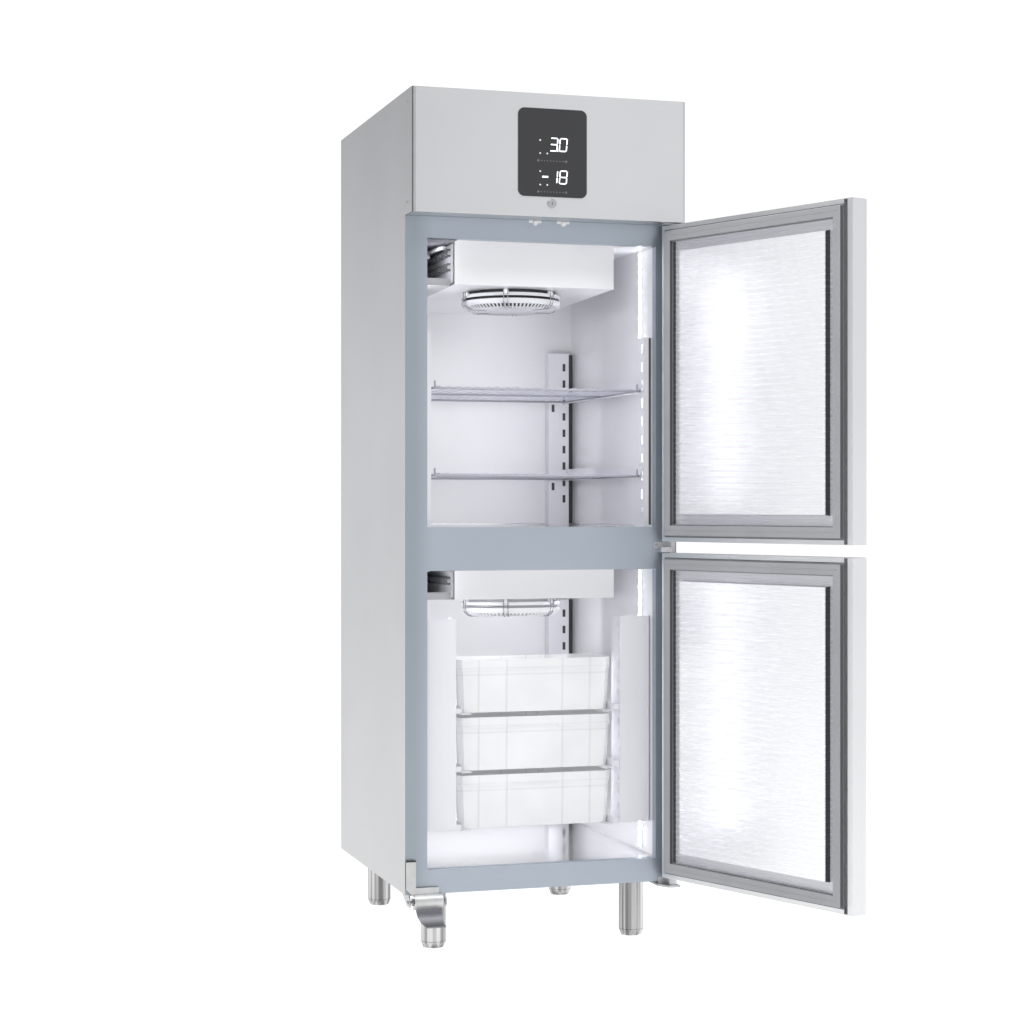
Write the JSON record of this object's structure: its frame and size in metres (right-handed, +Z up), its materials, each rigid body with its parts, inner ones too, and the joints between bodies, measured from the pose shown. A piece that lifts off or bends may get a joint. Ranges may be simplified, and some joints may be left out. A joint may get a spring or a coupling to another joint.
{
  "type": "commercial refrigerator",
  "caption": "Upright commercial refrigerator with a shelf compartment over a crate compartment, solid doors, display fascia, foot pedal and adjustable feet.",
  "frame": {"origin": "on the floor, at the centre of the footprint measured with both doors open", "axes": "+Z up, +Y from the front to the back, +X to the right seen from the front"},
  "size_m": [0.9369, 1.4696, 2.103],
  "materials": {
    "panel_steel": "fine brushed",
    "frame_steel": "satin",
    "liner_steel": "satin",
    "bare_steel": "satin",
    "bright_steel": "polished",
    "foam": "rigid foam",
    "seal_rubber": "matte",
    "black_gloss": "gloss",
    "white_plastic": "satin",
    "nylon": "matte",
    "grey_plastic": "matte",
    "light_cover": "diffusing",
    "coil_aluminium": "bare",
    "copper": "bare",
    "black_paint": "satin",
    "dark_plastic": "matte"
  },
  "bodies": {
    "cabinet": {"side_panel_left": "panel_steel", "side_panel_right": "panel_steel", "rear_panel": "bare_steel", "base_panel": "bare_steel", "front_frame": "frame_steel", "cabinet_insulation": "foam", "upper_liner": "liner_steel", "lower_liner": "liner_steel", "hinge_brackets": "bare_steel", "foot_sleeves": "bright_steel", "screws": "bright_steel", "fascia": "panel_steel", "display_panel": "black_gloss", "switch_bodies": "white_plastic", "technical_deck": "bare_steel", "compressors": "black_paint", "condenser_coil": "coil_aluminium", "condenser_fan_frame": "bare_steel", "electric_box": "grey_plastic", "refrigerant_pipes": "copper", "evaporator_fan_motors": "dark_plastic", "upper_evaporator_housing": "liner_steel", "lower_evaporator_housing": "liner_steel", "upper_evaporator_coil": "coil_aluminium", "lower_evaporator_coil": "coil_aluminium", "upper_fan_guard": "grey_plastic", "lower_fan_guard": "grey_plastic", "upper_rack_posts": "bare_steel", "lower_rack_posts": "bare_steel", "lower_spacer_panels": "liner_steel", "shelf_runners": "bare_steel", "crate_runners": "bare_steel", "led_strips": "light_cover", "pedal_bracket": "bare_steel"},
    "upper_door": {"upper_door_skin": "panel_steel", "upper_door_core": "foam", "upper_door_liner": "liner_steel", "upper_door_gasket": "seal_rubber", "upper_door_bushes": "nylon"},
    "lower_door": {"lower_door_skin": "panel_steel", "lower_door_core": "foam", "lower_door_liner": "liner_steel", "lower_door_gasket": "seal_rubber", "lower_door_bushes": "nylon"},
    "upper_shelf": {"wire_shelf_upper": "bright_steel"},
    "lower_shelf": {"wire_shelf_lower": "bright_steel"},
    "top_crate": {"crate_top": "white_plastic"},
    "middle_crate": {"crate_middle": "white_plastic"},
    "bottom_crate": {"crate_bottom": "white_plastic"},
    "upper_fan": {"upper_fan_rotor": "dark_plastic"},
    "lower_fan": {"lower_fan_rotor": "dark_plastic"},
    "condenser_fan": {"condenser_fan_rotor": "dark_plastic"},
    "pedal": {"pedal_lever": "bare_steel"},
    "lock": {"lock_cylinder": "bare_steel"},
    "left_plunger": {"switch_plunger_left": "white_plastic"},
    "right_plunger": {"switch_plunger_right": "white_plastic"},
    "front_left_foot": {"foot_front_left": "bright_steel"},
    "front_right_foot": {"foot_front_right": "bright_steel"},
    "rear_left_foot": {"foot_rear_left": "bright_steel"},
    "rear_right_foot": {"foot_rear_right": "bright_steel"}
  },
  "joints": [
    {"name": "upper_door_hinge", "type": "hinge", "parent": "cabinet", "child": "upper_door", "pos_m": [0.21254, -0.09317, 1.39975], "axis": [0, 0, -1], "range_deg": [0, 109.6]},
    {"name": "lower_door_hinge", "type": "hinge", "parent": "cabinet", "child": "lower_door", "pos_m": [0.21254, -0.09317, 0.56675], "axis": [0, 0, -1], "range_deg": [0, 109.6]},
    {"name": "upper_shelf_slide", "type": "slide", "parent": "cabinet", "child": "upper_shelf", "axis": [0, 1, 0], "range_m": [-0.4, 0]},
    {"name": "lower_shelf_slide", "type": "slide", "parent": "cabinet", "child": "lower_shelf", "axis": [0, 1, 0], "range_m": [-0.4, 0]},
    {"name": "top_crate_slide", "type": "slide", "parent": "cabinet", "child": "top_crate", "axis": [0, 1, 0], "range_m": [-0.4, 0]},
    {"name": "middle_crate_slide", "type": "slide", "parent": "cabinet", "child": "middle_crate", "axis": [0, 1, 0], "range_m": [-0.4, 0]},
    {"name": "bottom_crate_slide", "type": "slide", "parent": "cabinet", "child": "bottom_crate", "axis": [0, 1, 0], "range_m": [-0.4, 0]},
    {"name": "upper_fan_spin", "type": "hinge", "parent": "cabinet", "child": "upper_fan", "pos_m": [-0.13846, 0.16412, 1.65258], "axis": [0, 0.0207, 0.9998], "continuous": true},
    {"name": "lower_fan_spin", "type": "hinge", "parent": "cabinet", "child": "lower_fan", "pos_m": [-0.13846, 0.16412, 0.87108], "axis": [0, 0.0207, 0.9998], "continuous": true},
    {"name": "condenser_fan_spin", "type": "hinge", "parent": "cabinet", "child": "condenser_fan", "pos_m": [-0.11646, 0.61483, 1.919], "axis": [0, 1, 0], "continuous": true},
    {"name": "pedal_hinge", "type": "hinge", "parent": "cabinet", "child": "pedal", "pos_m": [-0.41196, -0.05317, 0.126], "axis": [-1, 0, 0], "range_deg": [-20, 0], "stiffness_Nm_per_rad": 3, "springref_deg": 17.19},
    {"name": "lock_turn", "type": "hinge", "parent": "cabinet", "child": "lock", "pos_m": [-0.11596, -0.13367, 1.834], "axis": [0, 1, 0], "range_deg": [0, 90]},
    {"name": "left_plunger_press", "type": "slide", "parent": "cabinet", "child": "left_plunger", "axis": [0, 1, 0], "range_m": [0, 0.004], "stiffness_N_per_m": 400, "springref_m": -0.004},
    {"name": "right_plunger_press", "type": "slide", "parent": "cabinet", "child": "right_plunger", "axis": [0, 1, 0], "range_m": [0, 0.004], "stiffness_N_per_m": 400, "springref_m": -0.004},
    {"name": "front_left_foot_height", "type": "slide", "parent": "cabinet", "child": "front_left_foot", "axis": [0, 0, -1], "range_m": [0, 0.03]},
    {"name": "front_right_foot_height", "type": "slide", "parent": "cabinet", "child": "front_right_foot", "axis": [0, 0, -1], "range_m": [0, 0.03]},
    {"name": "rear_left_foot_height", "type": "slide", "parent": "cabinet", "child": "rear_left_foot", "axis": [0, 0, -1], "range_m": [0, 0.03]},
    {"name": "rear_right_foot_height", "type": "slide", "parent": "cabinet", "child": "rear_right_foot", "axis": [0, 0, -1], "range_m": [0, 0.03]}
  ]
}
